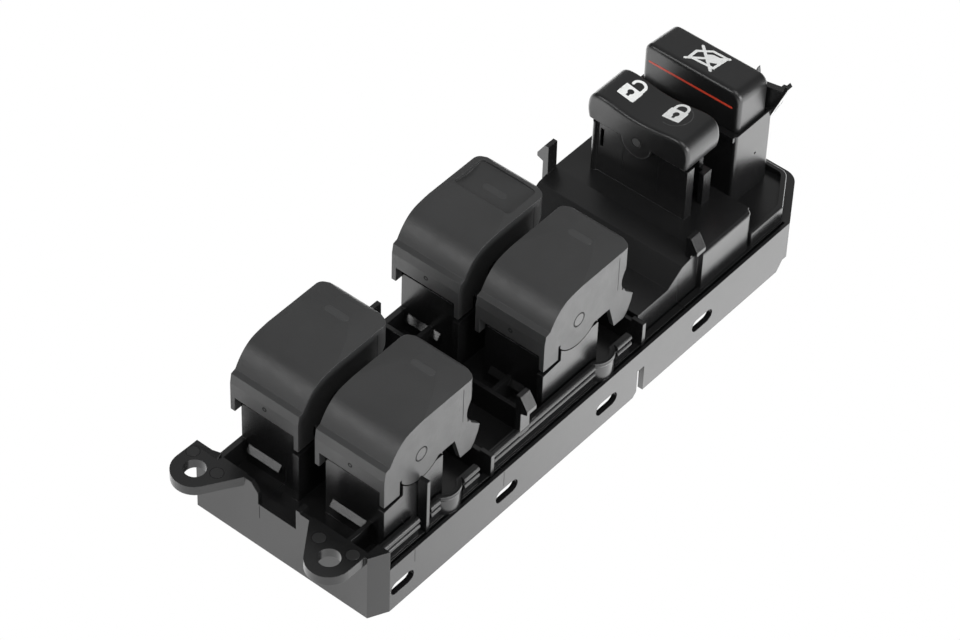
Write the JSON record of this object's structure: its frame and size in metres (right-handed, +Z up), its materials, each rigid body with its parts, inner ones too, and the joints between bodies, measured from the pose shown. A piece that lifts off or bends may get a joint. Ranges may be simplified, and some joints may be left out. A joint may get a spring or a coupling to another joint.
{
  "type": "power window switch",
  "caption": "Car door power window switch panel with screw ears, hinged window rockers, a tipping door lock rocker and a deep window lock push button.",
  "frame": {"origin": "under the middle of the housing, at the level of the skirt's bottom edge", "axes": "+Z up through the rocker caps, +Y along the length from the screw ears to the window lock button, +X to the side with the long side rail"},
  "size_m": [0.0673, 0.2174, 0.0624],
  "materials": {
    "housing": "satin gloss",
    "caps": "fine grain",
    "cover": "moulded",
    "inner": "natural",
    "screws": "zinc plated",
    "springs": "drawn wire",
    "board": "solder mask",
    "pins": "tinned",
    "lamps": "clear",
    "chip": "moulded"
  },
  "bodies": {
    "base": {"housing": "housing", "bottom_cover": "cover", "cover_screws": "screws", "circuit_board": "board", "connector_shell": "cover", "connector_pins": "pins", "board_lamps": "lamps", "control_chip": "chip", "push_switch": "chip"},
    "front_left": {"rocker_front_left": "caps", "plunger_front_left": "inner", "spring_front_left": "springs"},
    "front_right": {"rocker_front_right": "caps", "plunger_front_right": "inner", "spring_front_right": "springs"},
    "rear_left": {"rocker_rear_left": "caps", "plunger_rear_left": "inner", "spring_rear_left": "springs"},
    "rear_right": {"rocker_rear_right": "caps", "plunger_rear_right": "inner", "spring_rear_right": "springs"},
    "slide_front_left": {"slider_front_left": "inner"},
    "slide_front_right": {"slider_front_right": "inner"},
    "slide_rear_left": {"slider_rear_left": "inner"},
    "slide_rear_right": {"slider_rear_right": "inner"},
    "lock": {"lock_rocker": "caps"},
    "slide_lock": {"slider_lock": "inner"},
    "button": {"window_lock_button": "caps", "switch_plunger": "inner"}
  },
  "joints": [
    {"name": "front_left_tip", "type": "hinge", "parent": "base", "child": "front_left", "pos_m": [-0.01525, -0.0713, 0.0455], "axis": [1, 0, 0], "range_deg": [-6, 6], "stiffness_Nm_per_rad": 0.25},
    {"name": "front_left_contact", "type": "slide", "parent": "base", "child": "slide_front_left", "axis": [0, 1, 0], "range_m": [-0.0037, 0.0037]},
    {"name": "front_right_tip", "type": "hinge", "parent": "base", "child": "front_right", "pos_m": [0.01565, -0.0713, 0.0455], "axis": [1, 0, 0], "range_deg": [-6, 6], "stiffness_Nm_per_rad": 0.25},
    {"name": "front_right_contact", "type": "slide", "parent": "base", "child": "slide_front_right", "axis": [0, 1, 0], "range_m": [-0.0037, 0.0037]},
    {"name": "rear_left_tip", "type": "hinge", "parent": "base", "child": "rear_left", "pos_m": [-0.01525, -0.0039, 0.0455], "axis": [1, 0, 0], "range_deg": [-6, 6], "stiffness_Nm_per_rad": 0.25},
    {"name": "rear_left_contact", "type": "slide", "parent": "base", "child": "slide_rear_left", "axis": [0, 1, 0], "range_m": [-0.0037, 0.0037]},
    {"name": "rear_right_tip", "type": "hinge", "parent": "base", "child": "rear_right", "pos_m": [0.01565, -0.0039, 0.0455], "axis": [1, 0, 0], "range_deg": [-6, 6], "stiffness_Nm_per_rad": 0.25},
    {"name": "rear_right_contact", "type": "slide", "parent": "base", "child": "slide_rear_right", "axis": [0, 1, 0], "range_m": [-0.0037, 0.0037]},
    {"name": "lock_tip", "type": "hinge", "parent": "base", "child": "lock", "pos_m": [-0.0006, 0.0649, 0.0524], "axis": [0, 1, 0], "range_deg": [-4.5, 4.5], "stiffness_Nm_per_rad": 0.25},
    {"name": "lock_contact", "type": "slide", "parent": "base", "child": "slide_lock", "axis": [1, 0, 0], "range_m": [-0.0034, 0.0034]},
    {"name": "button_push", "type": "slide", "parent": "base", "child": "button", "axis": [0, 0, 1], "range_m": [-0.0025, 0], "stiffness_N_per_m": 800}
  ],
  "couplings": [
    {"joint": "front_left_contact", "follows": "front_left_tip", "m_per_rad": 0.0342},
    {"joint": "front_right_contact", "follows": "front_right_tip", "m_per_rad": 0.0342},
    {"joint": "rear_left_contact", "follows": "rear_left_tip", "m_per_rad": 0.0342},
    {"joint": "rear_right_contact", "follows": "rear_right_tip", "m_per_rad": 0.0342},
    {"joint": "lock_contact", "follows": "lock_tip", "m_per_rad": -0.0411}
  ]
}
